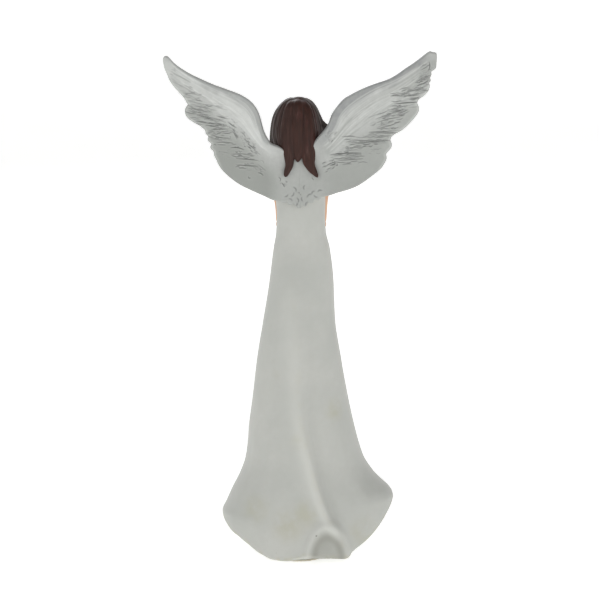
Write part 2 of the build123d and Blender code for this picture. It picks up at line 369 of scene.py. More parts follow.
def gown_paint():
    # Polyester casting resin, brush-painted satin off-white. It reads as a smooth, slightly uneven
    # eggshell: faint cloudy patches, cream stains where the resin shows, and a few pinholes left by air.
    material, tree, shader, place = finish_shader("casting_resin_brushed_satin_white", IOR=1.5)
    clouds = speckle(tree, place, 14, detail=4)
    base = coat(tree, "#B4B6B1", "#BEBFBA", clouds)
    fine = speckle(tree, place, 1.4, detail=5, low=0.3, high=0.7)
    base = coat(tree, base, "#B1B2AA", fine, 0.25)
    ragged = speckle(tree, place, 3, detail=6, low=0.3, high=0.6)
    base = coat(tree, base, "#ADAB96", spots(tree, place, STAINS, 0.95), ragged, 0.55)
    # Bare cream resin where the hem and the crests of the folds are rubbed.
    rubbed = speckle(tree, place, 2, detail=6, low=0.42, high=0.58)
    base = coat(tree, base, "#B5B29E", "edge", rubbed, 0.5)
    # Painted shade in the gully beside the long fold and in and under the hood at the hem; a painted
    # highlight along the fold's crest and the hood's rim.
    base = coat(tree, base, "#92928A", "fold", 0.8)
    base = coat(tree, base, "#CFD0CA", "crest", 0.55)
    # The pinholes are painted dark: painted shade inside holes too small to model.
    holes = spots(tree, place, PINHOLES, 0.35)
    base = coat(tree, base, "#67645A", holes, 0.85)
    # Brush marks and grit of about 0.5 mm, drawn a little coarser than a real brush leaves them.
    grit = speckle(tree, place, 0.5, detail=4, low=0.2, high=0.8)
    lumps = speckle(tree, place, 5, detail=2, low=0.2, high=0.8)
    height = node(tree, "Math", {0: grit, 1: 0.3, 2: lumps}, operation="MULTIPLY_ADD").outputs[0]
    height = node(tree, "Math", {0: holes, 1: -2.0, 2: height}, operation="MULTIPLY_ADD").outputs[0]
    surface(tree, shader, base, (clouds, 0.42, 0.54), height, 0.12, 0.5)
    return material


def wing_paint():
    # The same casting resin, off-white, then a silver-grey wash wiped into the grooves: the high
    # places stay pale, the engraved lines and the leading edge turn a soft pewter grey. Painted highlights
    # lie on the raised lines, the rims and the left wing's coverts; the right wing's coverts carry painted
    # shade.
    material, tree, shader, place = finish_shader("casting_resin_silver_washed", IOR=1.5)
    clouds = speckle(tree, place, 7, detail=5)
    base = coat(tree, "#B3B5B2", "#BEC0BD", clouds)
    streaks = speckle(tree, place, 0.9, detail=6, rough=0.7, low=0.35, high=0.65)
    base = coat(tree, base, "#A1A3A0", streaks, 0.35)
    # dim darkens the lower feathers, the root's foot and where grooves crowd; on the right wing it also lays
    # painted shade over the coverts.
    base = coat(tree, base, "#8F928D", "dim_and_shade", 0.85)
    ragged = speckle(tree, place, 1.3, detail=6, low=0.25, high=0.6)
    uneven = node(tree, "MapRange", {"Value": ragged, 3: 0.65, 4: 1.0}).outputs[0]
    # light is a painted highlight on the raised lines, the rims and the left wing's coverts.
    for paint_name, code in (("silver", "#919393"), ("light", "#D5D7D4"), ("wash", "#434644")):
        base = coat(tree, base, code, paint_name, uneven)
    # The silver paint holds fine aluminium flakes, so it is a little glossier than the white.
    silver = node(tree, "Attribute", attribute_name="silver").outputs["Fac"]
    grit = speckle(tree, place, 0.45, detail=4, low=0.2, high=0.8)
    surface(tree, shader, base, (silver, 0.46, 0.36), grit, 0.06, 0.5)
    return material


def hair_paint():
    # Casting resin painted a dark red-brown satin: painted shade makes it nearly black in the grooves between
    # strands;
    # it is redder on the crests, with a dull grey bloom where the brush dragged over the side locks.
    material, tree, shader, place = finish_shader("casting_resin_red_brown_satin",
                                                  **{"IOR": 1.5, "Specular IOR Level": 0.22})
    stretched = node(tree, "Mapping", {"Vector": place, "Scale": (1.0, 1.0, 0.16)}).outputs[0]
    strands = speckle(tree, stretched, 0.8, detail=5, low=0.3, high=0.7)
    base = coat(tree, "#331F19", "#412720", strands)
    red = speckle(tree, stretched, 3.2, detail=3, low=0.5, high=0.72)
    base = coat(tree, base, "#512527", red, 0.55)
    ashen = coat(tree, "#352D2B", "#504946", strands)
    base = coat(tree, base, ashen, "ash", 0.9)
    # Painted shade, nearly black, in the grooves between strands and locks.
    base = coat(tree, base, "#251815", "groove", 0.65)
    bloom = speckle(tree, stretched, 1.6, detail=4, low=0.62, high=0.8)
    base = coat(tree, base, "#6F5D54", bloom, 0.35)
    surface(tree, shader, base, (strands, 0.36, 0.5), strands, 0.12, 0.5)
    return material


def skin_paint():
    # Casting resin painted a warm satin flesh tone, with blushed cheeks and lips and fine brown
    # brush lines for brows and lashes.
    material, tree, shader, place = finish_shader("casting_resin_flesh_satin", IOR=1.5)
    clouds = speckle(tree, place, 3, detail=4)
    base = coat(tree, "#CEA181", "#D7AE8E", clouds)
    base = coat(tree, base, "#BF7965", "blush", 0.5)
    base = coat(tree, base, "#A7564E", "lips", 0.85)
    # Painted shade, a darker warm tone, in the hollows of the face and hands.
    base = coat(tree, base, "#A06E54", "hollow_shade", 0.5)
    base = coat(tree, base, "#462E27", "line")
    grit = speckle(tree, place, 0.4, detail=4, low=0.2, high=0.8)
    surface(tree, shader, base, (clouds, 0.38, 0.48), grit, 0.04, 0.4)
    return material


def plain_resin():
    # Unpainted polyester casting resin, cream and dull, with the swirls and air specks of a pour.
    material, tree, shader, place = finish_shader("casting_resin_unpainted", IOR=1.52)
    swirls = speckle(tree, place, 6, detail=5, distortion=1.5)
    base = coat(tree, "#D2CBB4", "#DDD7C4", swirls)
    specks = speckle(tree, place, 0.5, detail=2, low=0.68, high=0.74)
    base = coat(tree, base, "#8F8870", specks, 0.6)
    surface(tree, shader, base, (swirls, 0.5, 0.62), specks, 0.1, 0.5)
    return material


def wool_felt():
    # Pressed wool felt, cream: a matt mat of crossing fibres with a faint sheen at the rim.
    # Fibres are 0.02 mm thick; they are drawn ten times coarser so that they show.
    matt = {"Roughness": 0.95, "Sheen Weight": 0.4, "Sheen Roughness": 0.5, "IOR": 1.5}
    material, tree, shader, place = finish_shader("wool_felt_pressed", **matt)
    fibres = speckle(tree, place, 0.2, detail=6, rough=0.8, low=0.3, high=0.7, distortion=2.0)
    tufts = speckle(tree, place, 2.5, detail=4)
    base = coat(tree, "#BEB8A6", "#DAD5C6", fibres)
    base = coat(tree, base, "#CBC4B0", tufts, 0.3)
    surface(tree, shader, base, None, fibres, 0.15, 0.8)
    return material


def drawn_steel():
    # Mild steel wire, drawn: a grey metal with fine scratches along the wire and brown specks of rust.
    material, tree, shader, place = finish_shader("mild_steel_drawn_wire", Metallic=1.0)
    scratches = speckle(tree, place, 0.15, detail=5)
    rust = speckle(tree, place, 0.8, detail=5, low=0.62, high=0.72)
    base = coat(tree, "#8E8C88", "#B4B3AF", scratches)
    base = coat(tree, base, "#6A4A36", rust, 0.6)
    surface(tree, shader, base, (scratches, 0.3, 0.45), scratches, 0.02, 0.4)
    return material


# ---------------------------------------------------------------- the gown

# Half-widths of the casting at each height, on its left (+X) and on its right (-X).
LEFT_WIDTH = [(0, 38.6), (12, 38.9), (20.4, 39.5), (25, 37.6), (31.7, 34.8), (40.3, 30.6), (48.8, 27.7),
              (57.2, 26.5), (65.7, 25.9), (78.3, 24.3), (99.1, 21.7), (119.8, 18.5), (140.2, 15.0),
              (156.4, 12.9), (164.5, 11.7), (172.5, 11.5), (180.5, 12.0), (187, 12.3), (191.5, 11.2),
              (194.5, 9.0), (196.6, 7.0), (198, 5.4)]
RIGHT_WIDTH = [(0, 45.5), (12, 47.0), (20, 48.0), (28.5, 48.1), (31.7, 46.4), (36, 42.0), (40.3, 37.8),
               (48.8, 32.3), (57.2, 29.5), (65.7, 27.4), (78.3, 24.8), (99.1, 20.8), (119.8, 17.7),
               (140.2, 16.8), (156.4, 14.8), (164.5, 12.9), (172.5, 12.4), (180.5, 12.5), (187, 12.5),
               (191.5, 11.4), (194.5, 9.2), (196.6, 7.1), (198, 5.4)]
BACK_DEPTH = [(0, 28.8), (10, 28.3), (20, 27.2), (31.7, 25.6), (48.8, 23.0), (65.7, 21.1), (99.1, 17.3),
              (119.8, 15.0), (140.2, 12.7), (156, 10.6), (163, 9.8), (172, 9.6), (183, 9.9), (190, 8.6),
              (194.5, 6.8), (198, 5.2)]
FRONT_DEPTH = [(0, 29.0), (10, 28.2), (20, 26.8), (31.7, 25.0), (48.8, 22.6), (65.7, 20.7), (99.1, 17.0),
               (119.8, 14.6), (140.2, 12.0), (156, 9.6), (163, 8.7), (172, 9.4), (180, 9.9), (186, 8.4),
               (191, 7.0), (194.5, 6.2), (198, 5.0)]
# Height of the hem over the width, behind and in front.
HEM_BACK = [(-48.5, 31.5), (-47.7, 28.8), (-44.8, 24.0), (-37.4, 14.8), (-29.6, 8.4), (-25.0, 5.2),
            (-21.5, 4.0), (-15, 4.2), (-8, 5.4), (-4, 6.6), (1, 4.9), (8, 3.7), (14, 4.0), (20.1, 6.4),
            (29.9, 12.0), (36, 15.5), (38.8, 18.5), (40, 22)]
HEM_FRONT = [(-48.5, 31.5), (-44, 24), (-36, 14.5), (-26, 7.5), (-15, 4.4), (-4, 5.2), (3, 3.8), (12, 4.6),
             (22, 7.5), (31, 12), (38.8, 18.5), (40, 22)]
# The long fold down the back, from the waist to the right of the hem: (height, place across).
FOLD = [(0, -24), (7.4, -22), (16, -18.6), (23.3, -14.4), (33.2, -10.2), (45.6, -6.4), (58, -3.4),
        (68, -1.2), (83, 0.8), (102.8, 1.2), (117.6, 2.0), (132.4, 3.4), (150, 5)]
FOLD_HEIGHT = [(0, 1.6), (16, 2.7), (33, 3.0), (46, 2.7), (68, 2.1), (83, 1.7), (118, 1.0), (150, 0)]
# How wide the fold's flanks are at each height.
FOLD_SLOPE = [(0, 3.0), (60, 5.0), (150, 8.0)]
# Pleats in front: (place across as a share of the half-width, how far each stands out).
FRONT_PLEATS = ((-0.74, 2.3), (-0.42, 1.7), (-0.12, 2.1), (0.2, 1.9), (0.5, 1.6), (0.78, 2.2))
# Cream stains and pinholes on the back of the skirt: (place, radius).
STAINS = [((22.5, 21, 27.4), 5.4), ((6, 28, 20.9), 6.4), ((-2.5, 26, 26.4), 5.6), ((-17.4, 15, 77.5), 4.2),
          ((0, 21, 62.8), 3.4), ((-30, 18, 16), 5.6), ((14, 19, 96), 3.0), ((8, -26, 24), 5.5)]
PINHOLES = [((0.5, 20.5, 79.6), 0.42), ((-17.9, 26.3, 24.5), 0.5), ((-8, 28, 16), 0.55),
            ((12, 27.6, 6.5), 0.5), ((-8.9, 15.4, 110.6), 0.42), ((-8.7, 15.6, 109.6), 0.42),
            ((-8.5, 15.7, 108.6), 0.36), ((9, -19, 74), 0.4), ((-15, -22, 33), 0.45)]


def hood_arch(x, height):
    """Distance from the foot of the hood at the hem; 1 along its rim."""
    return np.hypot((x + 14.0) / 9.4, (height - 3.0) / 15.6)


def gown():
    """The bodice and the skirt: a wall down from the neck, a rounded hem and a closed underside."""
    # Shares of the skin's run from the neck's cap to the middle of the underside.
    wall_start, wall_end, lip_end, under_end = 0.03, 0.83, 0.87, 0.96
    plate_half = (plate_high - plate_low)[:2] / 2 + 0.15
    recess = plate_high[2] + 0.3
    lip = 1.7

    def shape(turn, height):
        """Half-sizes of the casting at a height, for each direction."""
        across, back = np.cos(turn), np.sin(turn)
        wide = np.where(across > 0, through(LEFT_WIDTH, height), through(RIGHT_WIDTH, height))
        deep = np.where(back > 0, through(BACK_DEPTH, height), through(FRONT_DEPTH, height))
        return wide, deep

    def place(turn, along):
        across, back = np.cos(turn), np.sin(turn)
        hem_x = np.where(across > 0, 39.3, 48.2) * across
        behind = ramp(-0.3, 0.3, back)
        hem = through(HEM_BACK, hem_x) * behind + through(HEM_FRONT, hem_x) * (1 - behind)
        down = np.clip((along - wall_start) / (wall_end - wall_start), 0, 1)
        height = collar + (hem - collar) * down
        wide, deep = shape(turn, height)
        x, y = wide * across, deep * back

        # The long fold and the hood that it ends in, at the hem.
        fold = through(FOLD_HEIGHT, height)
        aside = x - through(FOLD, height)
        slope = through(FOLD_SLOPE, height)
        crest = np.where(aside > 0, bump(aside, slope * 1.5), bump(aside, slope * 0.55))
        gully = bump(aside + slope * 1.05, slope * 0.5)
        out = behind * fold * (crest - 0.2 * gully)
        arch = hood_arch(x, height)
        hood = 1.5 * bump(arch - 1.14, 0.17) - 2.3 * (1 - ramp(0.45, 1.0, arch))
        hood += 1.1 * bump(np.hypot((x + 14.6) / 2.6, (height - 6) / 4.2), 1)
        out += behind * hood
        # Shallow folds on the back, either side of it.
        for share, size, narrow in ((0.55, 0.7, 0.11), (-0.72, 0.6, 0.09), (0.86, 0.5, 0.06)):
            out += behind * size * (1 - ramp(20, 120, height)) * bump(x / wide - share, narrow)
        # Pleats in front, and gathers at the waist.
        for k, (share, size) in enumerate(FRONT_PLEATS):
            bend = share + 0.03 * np.sin(height / 23 + 1.7 * k)
            out += (1 - behind) * size * (1 - ramp(30, 158, height)) * bump(x / wide - bend, 0.075)
        out += (1 - behind) * 0.28 * bump(height - 162, 9) * np.cos(turn * 26 + np.sin(turn * 5))
        # The casting's own slow unevenness.
        uneven = np.sin(height / 7.3 + 2 * turn) + np.sin(height / 11.9 - 3 * turn + 1)
        uneven = uneven + np.sin(5 * turn + height / 17)
        out += 0.09 * uneven * ramp(4, 30, 198 - height)
        # A thin raised edge at the neck.
        out += 0.45 * bump(height - (collar - 1.6), 0.9)

        lean = np.stack([across / wide, back / deep], 1)
        lean /= np.linalg.norm(lean, axis=1)[:, None]
        x, y = x + out * lean[:, 0], y + out * lean[:, 1]

        # The cap under the neck.
        cap = np.clip(along / wall_start, 0, 1)
        x, y = x * cap, y * cap
        # The rounded lip of the hem.
        roll = np.clip((along - wall_end) / (lip_end - wall_end), 0, 1) * math.pi / 2
        x -= lean[:, 0] * lip * (1 - np.cos(roll))
        y -= lean[:, 1] * lip * (1 - np.cos(roll))
        height = height - lip * np.sin(roll)
        # The underside runs in to the bottom plate, then up round it.
        under = np.clip((along - lip_end) / (under_end - lip_end), 0, 1)
        plate_x, plate_y = plate_half[0] * across, plate_half[1] * back
        x, y = x + (plate_x - x) * under, y + (plate_y - y) * under
        height = height + (ground - height) * (1 - (1 - under) ** 2.2)
        rise = np.clip((along - under_end) / 0.01, 0, 1)
        height = height + (recess - ground) * rise
        close = 1 - np.clip((along - 0.97) / 0.03, 0, 1)
        return np.stack([x * close, y * close, height], 1)

    bm = bmesh.new()
    skin(bm, 300, 320, place)
    facing_out(bm)
    obj = made("gown_casting", bm)
    xyz = places(obj.data)
    x, height, behind = xyz[:, 0], xyz[:, 2], ramp(-2, 4, xyz[:, 1])
    aside = x - through(FOLD, height)
    slope = through(FOLD_SLOPE, height)
    fold = through(FOLD_HEIGHT, height) / 2.7
    arch = hood_arch(x, height)
    # fold is painted shade in the gully beside the long fold, under the hood's rim and inside the hood; crest
    # is a painted highlight along the fold's crest and the hood's rim.
    gully = 0.08 * behind * fold * bump(aside + slope * 0.95, slope * 0.36)
    gully += behind * (0.85 * bump(arch - 0.76, 0.18) + 0.55 * (1 - ramp(0.5, 0.9, arch)))
    crest = fold * bump(aside - slope * 0.3, slope * 0.7) * ramp(10, 20, height)
    crest = behind * (crest + 0.6 * bump(arch - 1.13, 0.1))
    hem = np.where(xyz[:, 1] > 0, through(HEM_BACK, x), through(HEM_FRONT, x))
    paint(obj.data, "fold", gully)
    paint(obj.data, "crest", crest)
    paint(obj.data, "edge", bump(height - hem + 0.5, 1.2) + 0.5 * behind * fold * bump(aside, 1.6))
    return obj


# ---------------------------------------------------------------- the wings

# Each wing's outline, from the middle of the back up along the leading edge to the tip and back
# along the feathers, as (across, height). The left wing is given as built, the right one mirrored.
LEFT_OUTLINE = [(-0.1, 179.0), (-0.1, 190), (-0.1, 204.5), (5, 205.6), (11, 208.5), (13.1, 209.4),
                (15, 210.9), (17.7, 216.2), (19.3, 222.2), (20.8, 226.4), (23.5, 230.2), (28.1, 233.6),
                (34.8, 236.5), (41.1, 239), (46, 241.3), (51.3, 244), (55.5, 246.6), (59.1, 249.4),
                (61.6, 252.2), (63.0, 253.2), (63.9, 252.2), (63.7, 249.6), (63.2, 247.4), (62.2, 245),
                (60.9, 241.8), (59.0, 239.0), (57.2, 236.9), (54.7, 233.9), (53.2, 231.2), (52.6, 230.3),
                (53.8, 228.9), (54.2, 227.0), (53.3, 224.6), (50.7, 222.4), (47.2, 220.2), (45.1, 218.2),
                (44.6, 216.4), (43.4, 214.9), (43.7, 213.2), (42.0, 211.3), (42.6, 209.6), (41.1, 207.8),
                (40.9, 206.0), (39.9, 204.0), (38.8, 201.3), (36.5, 198), (32.5, 194.1), (28.4, 191.1),
                (23.8, 188.5), (17.8, 185.4), (12.7, 182.8), (9.6, 182.6), (8.8, 181.5), (6.2, 181.6),
                (5.2, 180.3), (2.9, 180.5), (1.9, 179.1)]
RIGHT_OUTLINE = [(-0.1, 179.0), (-0.1, 190), (-0.1, 204.5), (4, 206.2), (7.5, 211), (9.7, 213.7),
                 (12.4, 216.9), (14.3, 220.2), (15.6, 224), (17.9, 227.7), (21.1, 231.5), (24.7, 233.9),
                 (30.1, 236.8), (35.1, 239), (41.3, 241.3), (45.7, 243.7), (50.1, 247), (54.6, 250.2),
                 (58, 253), (60.9, 255.2), (62.2, 254.9), (63.6, 254.7), (64.0, 253.2), (63.8, 250.6),
                 (63.5, 247.9), (61.5, 246.3), (61.6, 244.7), (60.9, 243.3), (61.3, 241.9), (60.4, 240.9),
                 (60.9, 239.4), (60.2, 237.1), (58.0, 234.6), (56.2, 233.4), (55.2, 231.3), (56.0, 229.3),
                 (55.6, 226.6), (51.8, 221.6), (48.3, 218.3), (44.4, 215.9), (42.9, 213.4), (43.6, 211.5),
                 (43.3, 209.6), (41.0, 206.6), (41.3, 204.6), (40.6, 202.6), (38.6, 199.5), (34.1, 195.5),
                 (28.2, 191.0), (22.7, 188.4), (18.1, 186.8), (14.1, 185.2), (10.4, 184.3), (9.4, 183.0),
                 (7.0, 182.8), (6.0, 181.2), (4.0, 181.2), (2.9, 179.3), (1.2, 179.6)]
# Inner border of the smooth silver band behind the leading edge, from the tip to the root.
LEFT_BAND = [(61.5, 251.5), (59.2, 248.3), (51.7, 242.4), (40.9, 236.3), (30.0, 230.6), (24.3, 225.0),
             (21.3, 218.2), (18.2, 211.5), (15.5, 208.5)]
RIGHT_BAND = [(61, 251.5), (56.3, 247.6), (46.3, 240.8), (36.2, 235.8), (27.0, 229.6), (20.9, 223.6),
              (17.3, 217.0), (13.6, 211.5), (10, 208.5)]
# Lower border of the smooth raised coverts, from the tip to the root.
LEFT_COVERT = [(60, 244.5), (53.3, 237.6), (47.3, 234.1), (42.2, 230.8), (38.5, 226.5), (34.5, 222.5),
               (30.0, 220.0), (24.4, 214.0), (19.7, 209.0), (14.6, 204.8)]
RIGHT_COVERT = [(56, 240.5), (50, 235.0), (43.9, 230.4), (36.3, 225.0), (29.2, 219.0), (22.0, 213.0),
                (17.3, 208.6), (13.2, 204.6)]
# Engraved strokes: (from across, height, to across, height, depth, further strokes beside it).
LEFT_STROKES = [
    (60.7, 246.3, 51.7, 240.9, 0.45, 2), (60.3, 241.7, 47.3, 234.1, 0.6, 2),
    (54.8, 235.9, 46.8, 234.1, 0.8, 2), (53.4, 232.2, 37.1, 229.1, 0.7, 2),
    (51.9, 229.1, 41.8, 226.2, 0.8, 3), (51.4, 226.5, 36.2, 222.4, 0.9, 3),
    (49.4, 222.3, 36.2, 220.3, 1.0, 4), (43.4, 217.9, 33.1, 218.1, 0.9, 3),
    (42.4, 215.6, 33.2, 213.6, 0.8, 2), (39.9, 212.1, 32.2, 211.3, 0.9, 1),
    (33.2, 209.2, 27.0, 207.9, 1.0, 1), (38.0, 207.4, 34.0, 206.6, 0.35, 1),
    (33.2, 206.1, 22.9, 205.1, 0.8, 1), (30.7, 203.9, 20.3, 202.4, 1.0, 1),
    (30.2, 200.7, 20.3, 199.5, 0.8, 2), (34.5, 221.5, 30.5, 218.5, 1.0, 2),
    (32.8, 217.5, 30.2, 213.0, 1.0, 2), (28.5, 216.5, 26.0, 213.5, 0.8, 1),
    (27.0, 213.0, 24.2, 210.8, 1.0, 2), (25.0, 210.4, 21.6, 207.5, 1.0, 2),
    (22.5, 206.5, 19.0, 205.0, 0.7, 1), (20.2, 196.4, 17.8, 194.9, 0.9, 0),
    (25.0, 194.8, 24.0, 194.0, 1.0, 0), (20.5, 200.5, 16.5, 197.0, 0.5, 1),
    (10.4, 193.8, 9.5, 191.8, 0.8, 0), (8.9, 191.0, 7.6, 189.0, 0.9, 1)]
RIGHT_STROKES = [
    (60.8, 250.8, 60.5, 246.8, 1.0, 0), (56.8, 246.7, 60.3, 249.0, 0.8, 2),
    (54.9, 241.5, 60.9, 244.7, 0.9, 3), (55.4, 239.5, 60.7, 242.2, 1.0, 3),
    (50.4, 236.2, 60.0, 239.6, 0.9, 4), (46.4, 234.1, 59.0, 236.5, 1.0, 4),
    (44.9, 230.4, 56.0, 231.8, 1.0, 3), (42.4, 226.7, 50.5, 228.0, 1.0, 3),
    (36.3, 222.9, 48.0, 227.9, 1.0, 3), (36.9, 221.3, 47.5, 224.3, 1.0, 3),
    (39.9, 219.4, 46.5, 221.7, 1.0, 3), (33.3, 216.5, 46.6, 217.0, 0.9, 3),
    (25.1, 212.5, 41.5, 213.2, 0.9, 3), (26.1, 210.5, 39.5, 212.6, 1.0, 4),
    (22.5, 208.2, 29.7, 209.6, 0.9, 3), (17.3, 205.4, 29.3, 206.4, 1.0, 4),
    (18.4, 202.3, 30.3, 203.8, 0.9, 3), (12.1, 198.8, 17.9, 201.7, 1.0, 4),
    (34.0, 208.5, 39.0, 209.2, 0.4, 2), (13.5, 212.5, 16.2, 216.0, 0.6, 3),
    (5.8, 193.6, 6.6, 192.4, 0.8, 0)]
# Small tufts on the feathers between the wings: (across, height, direction in degrees, length).
TUFTS = [(2.5, 187.7, 60, 2.6), (3.6, 185.2, 120, 2.2), (1.2, 182.4, 75, 2.4), (0.2, 185.6, 40, 1.8),
         (4.6, 182.6, 35, 2.0), (-2.1, 188.7, 100, 2.0), (-4.6, 184.7, 145, 2.8), (-6.4, 186.2, 135, 2.4),
         (-9.6, 187.1, 160, 1.8), (-1.1, 182.9, 80, 2.2), (-3.2, 180.6, 120, 2.0), (-7.6, 184.4, 30, 1.8),
         (1.6, 180.4, 110, 1.4), (6.6, 184.6, 150, 1.6)]
SWEEP = math.tan(math.radians(18))
RASTER = 0.15


def engrave(field, origin, points, width, depth):
    """Cuts a groove that fades at both ends into a height field of RASTER mm cells."""
    line = curve(points, 60) if len(points) > 2 else np.linspace(points[0], points[1], 60)
    length = np.sum(np.hypot(*np.diff(line, axis=0).T))
    count = max(3, int(length / (RASTER * 1.2)))
    spots = np.stack([np.interp(np.linspace(0, 59, count), range(60), line[:, i]) for i in (0, 1)], 1)
    fade = np.sin(np.linspace(0.12, math.pi - 0.12, count)) ** 0.5
    reach = int(2 * width / RASTER) + 1
    for (x, z), amount in zip(spots, fade):
        column, row = (x - origin[0]) / RASTER, (z - origin[1]) / RASTER
        c, r = int(round(column)), int(round(row))
        if not (reach < c < field.shape[1] - reach and reach < r < field.shape[0] - reach):
            continue
        dx = np.arange(c - reach, c + reach + 1) - column
        dz = np.arange(r - reach, r + reach + 1) - row
        groove = depth * amount * np.exp(-((dx[None] ** 2 + dz[:, None] ** 2) * (RASTER / width) ** 2))
        part = field[r - reach:r + reach + 1, c - reach:c + reach + 1]
        np.maximum(part, groove, out=part)


def sampled(field, origin, x, z):
    """Height field values at places between its cells."""
    column = np.clip((x - origin[0]) / RASTER, 0, field.shape[1] - 1.001)
    row = np.clip((z - origin[1]) / RASTER, 0, field.shape[0] - 1.001)
    c, r = column.astype(int), row.astype(int)
    fc, fr = column - c, row - r
    low = field[r, c] * (1 - fc) + field[r, c + 1] * fc
    high = field[r + 1, c] * (1 - fc) + field[r + 1, c + 1] * fc
    return low * (1 - fr) + high * fr


def wing(name, side, outline, band, covert, strokes, combed, covert_light, band_silver, tip_x, seed):
    """One wing casting. side is +1 for the left wing. combed is how many fine raised lines run along it.

    covert_light is how much painted highlight lies on the coverts (below 0 it lays painted shade on them
    instead), band_silver how thick the silver is.
    """
    chance = random.Random(seed)
    # The outline is stretched so that its tip reaches as far out as the CAD wing's.
    reach = max(p[0] for p in outline)
    stretch = (tip_x - 0.2) / reach
    rim = curve([(x * stretch, z) for x, z in outline], 420, closed=True)
    step = np.roll(rim, -1, 0) - np.roll(rim, 1, 0)
    away = np.stack([-step[:, 1], step[:, 0]], 1) / np.maximum(np.hypot(*step.T), 1e-6)[:, None]
    # Smoothing the edge takes this much off it.
    rim = rim + 0.45 * away * ramp(2, 6, rim[:, 0])[:, None]
    closed_rim = np.vstack([rim, rim[:1]])
    band_line = curve(band, 60)
    covert_line = curve(covert, 60)

    # The root's middle plane, where the sweep starts and over how long a stretch, and how far the
    # root's front reaches into the body.
    root_y, bend_x, bend_soft, mortise_depth = 10.9, 8, 1.5, 4.0
    bm = bmesh.new()
    edge = bmesh.ops.create_circle(bm, segments=len(rim), radius=1)["verts"]
    for vert, (x, z) in zip(edge, rim):
        vert.co = (x, -1, z)
    bmesh.ops.triangle_fill(bm, edges=bm.edges, use_beauty=True)
    slab = bmesh.ops.extrude_face_region(bm, geom=bm.faces)["geom"]
    bmesh.ops.translate(bm, verts=[g for g in slab if isinstance(g, bmesh.types.BMVert)], vec=(0, 2, 0))
    facing_out(bm)
    obj = fused(made(name, bm), 0.27)

    # Height fields over the wing: grooves, and where each paint lies.
    origin = (-4.0, 174.0)
    shape = (int(88 / RASTER), int(74 / RASTER))
    grooves, combing = np.zeros(shape), np.zeros(shape)
    for x0, z0, x1, z1, depth, beside in strokes:
        start, end = np.array([x0, z0]), np.array([x1, z1])
        way = (end - start) / np.hypot(*(end - start))
        aside = np.array([-way[1], way[0]])
        for k in range(6 * beside + 1):
            shift = 0 if k == 0 else chance.uniform(-2.3, 2.3)
            first = chance.uniform(-0.3, 0.85)
            cut = (0, 1) if k == 0 else (first, first + chance.uniform(0.12, 0.5))
            a, b = (start + (end - start) * share + aside * shift for share in cut)
            middle = (a + b) / 2 + aside * chance.uniform(-0.5, 0.5)
            strength = depth * (chance.uniform(0.6, 0.9) if k == 0 else chance.uniform(0.15, 0.75))
            engrave(grooves, origin, [a, middle, b], chance.uniform(0.16, 0.27), strength)
    for x, z, angle, length in TUFTS:
        if x * side > -1.5:
            turn = math.radians(angle)
            way = np.array([math.cos(turn) * side, math.sin(turn)]) * length / 2
            here = np.array([x * side, z])
            bow = np.array([-way[1], way[0]]) * 0.35
            engrave(grooves, origin, [here - way, here + bow, here + way], 0.42, 0.42)
    band_even, covert_even = curve(band, 100), curve(covert, 100)
    for k in range(combed):
        share = 1.2 * (k + chance.uniform(0.1, 0.9)) / combed - 0.2
        line = band_even + (covert_even - band_even) * share
        start = chance.randint(4, 60)
        end = min(97, start + chance.randint(14, 60))
        engrave(combing, origin, line[start:end:6], 0.22, chance.uniform(0.4, 1.0))
    engrave(grooves, origin, covert_line[6:30:4], 0.3, 0.2)

    xyz = places(obj.data)
    x, z, level = xyz[:, 0].copy(), xyz[:, 2].copy(), xyz[:, 1].copy()
    from_rim = distance_to(closed_rim[::2], x, z)
    from_lead = distance_to(rim[20:155:3], x, z)
    from_covert = distance_to(covert_line[::2], x, z)
    # Height of the band's inner border and of the coverts' border over each place across.
    order = np.argsort(band_line[:, 0])
    band_height = np.interp(x, band_line[order, 0], band_line[order, 1])
    order = np.argsort(covert_line[:, 0])
    covert_height = np.interp(x, covert_line[order, 0], covert_line[order, 1])
    above_band = ramp(-0.3, 0.9, z - band_height) * (from_lead < 7.5)
    above_covert = ramp(-1.6, 1.2, z - covert_height)
    root = 1 - ramp(8, 17, x)

    cut = sampled(grooves, origin, x, z)
    comb = sampled(combing, origin, x, z)
    edging = 0.5 * bump(from_rim - 0.75, 0.45) * ramp(36, 40, x) * (1 - above_band) * (1 - ramp(240, 246, z))
    beside_cut = np.clip(1.6 * (sampled(softly(grooves, 5), origin, x, z) - 0.6 * cut), 0, 1)
    height = 0.42 * above_covert * (1 - root) - 0.6 * cut + 0.35 * beside_cut + 0.14 * comb
    height += 0.22 * edging - 0.1 * bump(z - band_height, 0.9) * (from_lead < 7) * (1 - root)
    height += 0.1 * np.sin(x / 2.3 + 1.0) * np.sin(z / 3.1 + x / 6)
    half = 0.85 + 0.95 * np.exp(-from_lead / 7) + 0.7 * root
    rim_round = np.sqrt(1 - (1 - np.clip(from_rim / 1.0, 0, 1)) ** 2)
    free = ramp(2, 6, x)
    half = half * (1 - free * 0.5 * (1 - rim_round))

    # The wing sweeps back from the body, and its lower feathers curl forward.
    middle = root_y + SWEEP * np.log1p(np.exp((x - bend_x) / bend_soft)) * bend_soft
    below = np.clip(covert_height - z, 0, 40)
    curl = -0.12 * below * ramp(10, 30, x) - 0.06 * np.clip(z - covert_height, 0, 12) * ramp(12, 30, x)
    middle = middle + curl
    behind = level > 0
    on_face = np.clip(from_rim / 0.6, 0, 1) * (np.abs(level) > 0.7)
    y = middle + level * half + np.where(behind, 1, -0.8) * height * on_face
